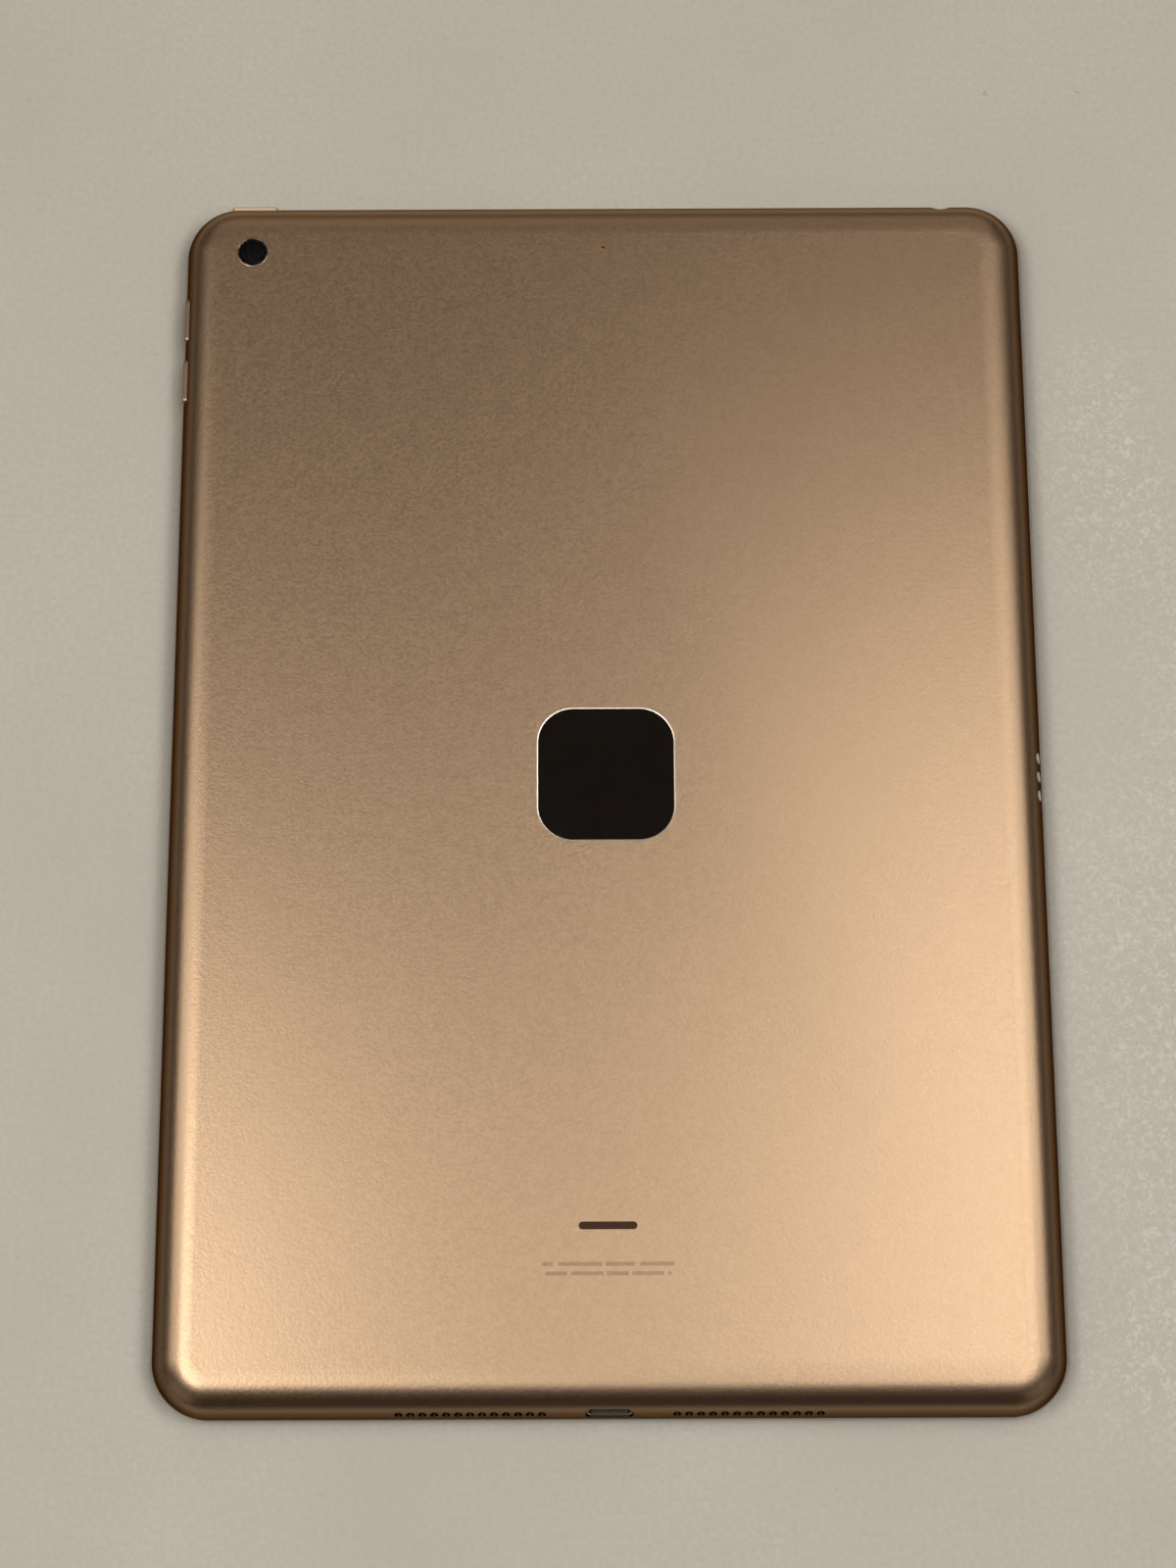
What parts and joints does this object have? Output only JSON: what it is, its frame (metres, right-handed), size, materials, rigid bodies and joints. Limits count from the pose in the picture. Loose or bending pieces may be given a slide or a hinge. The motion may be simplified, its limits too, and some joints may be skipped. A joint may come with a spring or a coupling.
{
  "type": "tablet computer",
  "caption": "Thin handheld touchscreen computer with a rounded aluminium back, edge buttons, a home button, cameras, speakers and a charge port.",
  "frame": {"origin": "middle of the cover glass's face, on the surface that the tablet lies on face down", "axes": "+Z out of the metal back, +Y towards the edge with the power button and headphone socket, +X towards the edge with the accessory contacts"},
  "size_m": [0.174, 0.2506, 0.0075],
  "materials": {
    "anodised_aluminium": "satin bead-blasted gold anodising",
    "button_metal": "satin gold with a polished edge",
    "trim_metal": "polished gold chamfer",
    "inlay_gloss": "mirror-smooth dark inlay",
    "camera_glass": "clear coated window over a black surround",
    "cover_glass": "clear polished glass",
    "lens_black": "gloss black",
    "border_white": "white ink seen through the glass",
    "home_cap": "gloss white",
    "display_black": "black screen, off",
    "gasket_plastic": "matte off-white",
    "port_plastic": "dark brown-black",
    "black_plastic": "matte black",
    "white_plastic": "matte white",
    "black_rubber": "matte",
    "steel": "stamped sheet",
    "mesh_metal": "fine woven mesh",
    "contact_metal": "matt plated contact",
    "contact_gold": "gold plated",
    "circuit_board": "solder mask",
    "chip": "moulded package",
    "battery_pouch": "wrapped pouch",
    "diaphragm": "thin film",
    "ribbon_cable": "amber film",
    "magnet": "nickel plated"
  },
  "bodies": {
    "casing": {"rear_housing": "anodised_aluminium", "back_inlay": "inlay_gloss", "rear_camera_ring": "trim_metal", "rear_camera_window": "camera_glass", "rear_camera_module": "black_plastic", "rear_camera_sensor": "circuit_board", "rear_camera_bracket": "steel", "rear_microphone": "contact_gold", "power_button_bracket": "steel", "volume_button_bracket": "steel", "button_switches": "white_plastic", "button_cable": "ribbon_cable", "headphone_jack": "black_plastic", "headphone_contacts": "contact_gold", "charge_port_bezel": "port_plastic", "charge_port_shell": "steel", "charge_port_contacts": "contact_gold", "charge_port_board": "circuit_board", "accessory_contacts": "contact_metal", "accessory_contact_holder": "black_plastic", "left_speaker_box": "black_plastic", "right_speaker_box": "black_plastic", "speaker_meshes": "mesh_metal", "left_battery_cell": "battery_pouch", "right_battery_cell": "battery_pouch", "battery_controller": "circuit_board", "battery_adhesive": "white_plastic", "logic_board": "circuit_board", "processor": "chip", "memory_chips": "chip", "wireless_module": "steel", "board_connectors": "chip", "board_shield": "steel", "display_panel": "display_black", "display_tray": "steel", "display_cable": "ribbon_cable", "touch_cable": "ribbon_cable", "cover_glass": "cover_glass", "glass_border": "border_white", "glass_gasket": "gasket_plastic", "glass_adhesive": "black_rubber", "home_button_gasket": "black_rubber", "home_button_bracket": "steel", "home_button_switch": "white_plastic", "home_button_cable": "ribbon_cable", "front_camera": "lens_black", "light_sensor": "lens_black", "wireless_antennas": "black_plastic", "cover_magnets": "magnet", "display_screws": "steel", "bracket_screws": "steel"},
    "power_button": {"power_button": "button_metal"},
    "volume_up_button": {"volume_up_button": "button_metal"},
    "volume_down_button": {"volume_down_button": "button_metal"},
    "home_button": {"home_button": "home_cap", "home_button_ring": "trim_metal", "home_button_sensor": "chip"},
    "rear_lens": {"rear_camera_lens": "lens_black"},
    "left_diaphragm": {"left_speaker_diaphragm": "diaphragm"},
    "right_diaphragm": {"right_speaker_diaphragm": "diaphragm"}
  },
  "joints": [
    {"name": "power_button_press", "type": "slide", "parent": "casing", "child": "power_button", "axis": [0, -1, 0], "range_m": [0, 0.0003], "stiffness_N_per_m": 3000, "springref_m": -0.0002},
    {"name": "volume_up_press", "type": "slide", "parent": "casing", "child": "volume_up_button", "axis": [1, 0, 0], "range_m": [0, 0.0003], "stiffness_N_per_m": 3000, "springref_m": -0.0002},
    {"name": "volume_down_press", "type": "slide", "parent": "casing", "child": "volume_down_button", "axis": [1, 0, 0], "range_m": [0, 0.0003], "stiffness_N_per_m": 3000, "springref_m": -0.0002},
    {"name": "home_button_press", "type": "slide", "parent": "casing", "child": "home_button", "axis": [0, 0, 1], "range_m": [0, 0.0003], "stiffness_N_per_m": 3000, "springref_m": -0.0003},
    {"name": "rear_lens_focus", "type": "slide", "parent": "casing", "child": "rear_lens", "axis": [0, 0, 1], "range_m": [0, 0.00025], "stiffness_N_per_m": 200, "springref_m": -0.0001},
    {"name": "left_diaphragm_motion", "type": "slide", "parent": "casing", "child": "left_diaphragm", "axis": [0, 0, 1], "range_m": [-0.00025, 0.00025], "stiffness_N_per_m": 600},
    {"name": "right_diaphragm_motion", "type": "slide", "parent": "casing", "child": "right_diaphragm", "axis": [0, 0, 1], "range_m": [-0.00025, 0.00025], "stiffness_N_per_m": 600}
  ]
}
